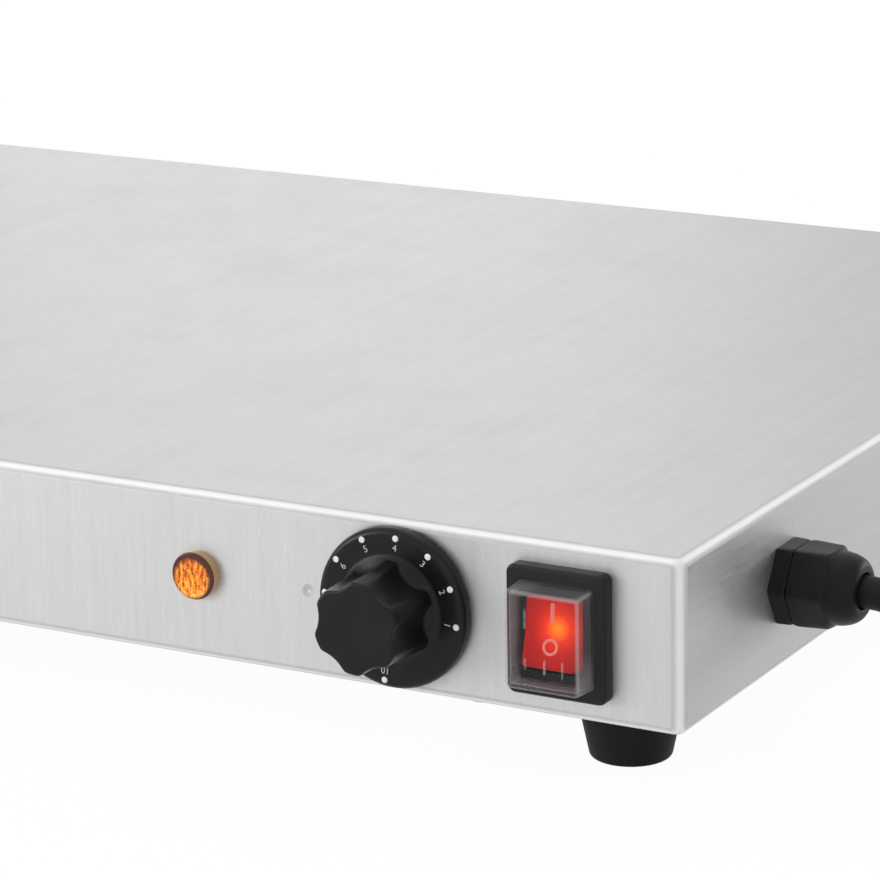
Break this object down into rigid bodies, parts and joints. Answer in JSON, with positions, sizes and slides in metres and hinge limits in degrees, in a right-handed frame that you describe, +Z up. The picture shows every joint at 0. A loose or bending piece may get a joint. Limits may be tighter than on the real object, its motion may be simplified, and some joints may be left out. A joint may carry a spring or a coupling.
{
  "type": "electric food warmer tray",
  "caption": "Low stainless warming tray on rubber feet, with a thermostat dial, a covered rocker switch and a pilot lamp on its front, and a supply cord at its right side.",
  "frame": {"origin": "on the table, under the middle of the box round the casing and its dial", "axes": "+X to the right as a cook faces the dial, +Y to the back, +Z up out of the hot surface"},
  "size_m": [0.8223, 0.372, 0.063],
  "materials": {
    "stainless": "brushed along the front and the top, with rounded folded edges",
    "zinc_steel": "bright zinc plate",
    "spring_steel": "plain spring steel",
    "aluminium": "mill finish",
    "element_sheath": "annealed, browned by heat",
    "element_beads": "unglazed steatite bead with a steel stem",
    "mineral_mat": "needled mineral fibre",
    "rubber_feet": "soft matt black rubber",
    "black_plastic": "moulded, satin",
    "knob_plastic": "moulded phenolic, low gloss",
    "black_nylon": "moulded nylon with a faint sheen",
    "ivory_plastic": "moulded, heat resisting",
    "red_lens": "clear red, lit from within",
    "orange_lens": "clear amber, cut into small prisms",
    "neon_glass": "small glass glow lamp",
    "clear_cover": "soft clear moulded cover",
    "brass": "plain turned or pressed brass",
    "copper": "drawn copper tube",
    "plated_pins": "nickel plate",
    "cord_jacket": "black rubber jacket",
    "seal_rubber": "soft black rubber",
    "live_wire": "brown silicone insulation",
    "neutral_wire": "blue silicone insulation",
    "earth_wire": "green and yellow silicone insulation",
    "strap": "woven strap"
  },
  "bodies": {
    "casing": {"top_shell": "stainless", "base_plate": "zinc_steel", "base_screws": "zinc_steel", "foot_front_left": "rubber_feet", "foot_front_right": "rubber_feet", "foot_rear_left": "rubber_feet", "foot_rear_right": "rubber_feet", "foot_screws": "zinc_steel", "foot_washers": "zinc_steel", "foot_nuts": "zinc_steel", "spreader_plate": "aluminium", "heating_element": "element_sheath", "element_terminals": "element_beads", "clamp_bars": "zinc_steel", "clamp_nuts": "zinc_steel", "insulating_mat": "mineral_mat", "heater_tray": "zinc_steel", "tray_nuts": "zinc_steel", "thermostat_body": "ivory_plastic", "thermostat_screws": "zinc_steel", "capillary_bulb": "copper", "bulb_clip": "spring_steel", "thermal_cutout": "black_plastic", "switch_housing": "black_plastic", "switch_neon": "neon_glass", "switch_cover": "clear_cover", "switch_tabs": "brass", "lamp_lens": "orange_lens", "lamp_body": "ivory_plastic", "lamp_ring": "black_nylon", "lamp_tabs": "brass", "terminal_block": "ivory_plastic", "block_screws": "zinc_steel", "earth_stud": "brass", "live_wires": "live_wire", "neutral_wires": "neutral_wire", "earth_wire": "earth_wire", "mains_tail": "cord_jacket", "gland_body": "black_nylon", "gland_lock_nut": "black_nylon", "gland_seal": "seal_rubber", "gland_dome_nut": "black_nylon", "supply_cord": "cord_jacket", "cord_coil": "cord_jacket", "plug_lead": "cord_jacket", "cord_tie": "strap", "plug_body": "cord_jacket", "plug_pins": "plated_pins", "plug_earth_clips": "plated_pins"},
    "dial": {"control_knob": "knob_plastic", "knob_leaf_spring": "spring_steel", "thermostat_shaft": "brass"},
    "rocker": {"switch_rocker": "red_lens"}
  },
  "joints": [
    {"name": "dial_turn", "type": "hinge", "parent": "casing", "child": "dial", "pos_m": [0.221, -0.164, 0.0405], "axis": [0, -1, 0], "range_deg": [-84, 186]},
    {"name": "rocker_tilt", "type": "hinge", "parent": "casing", "child": "rocker", "pos_m": [0.2675, -0.165, 0.0405], "axis": [1, 0, 0], "range_deg": [0, 22]}
  ]
}
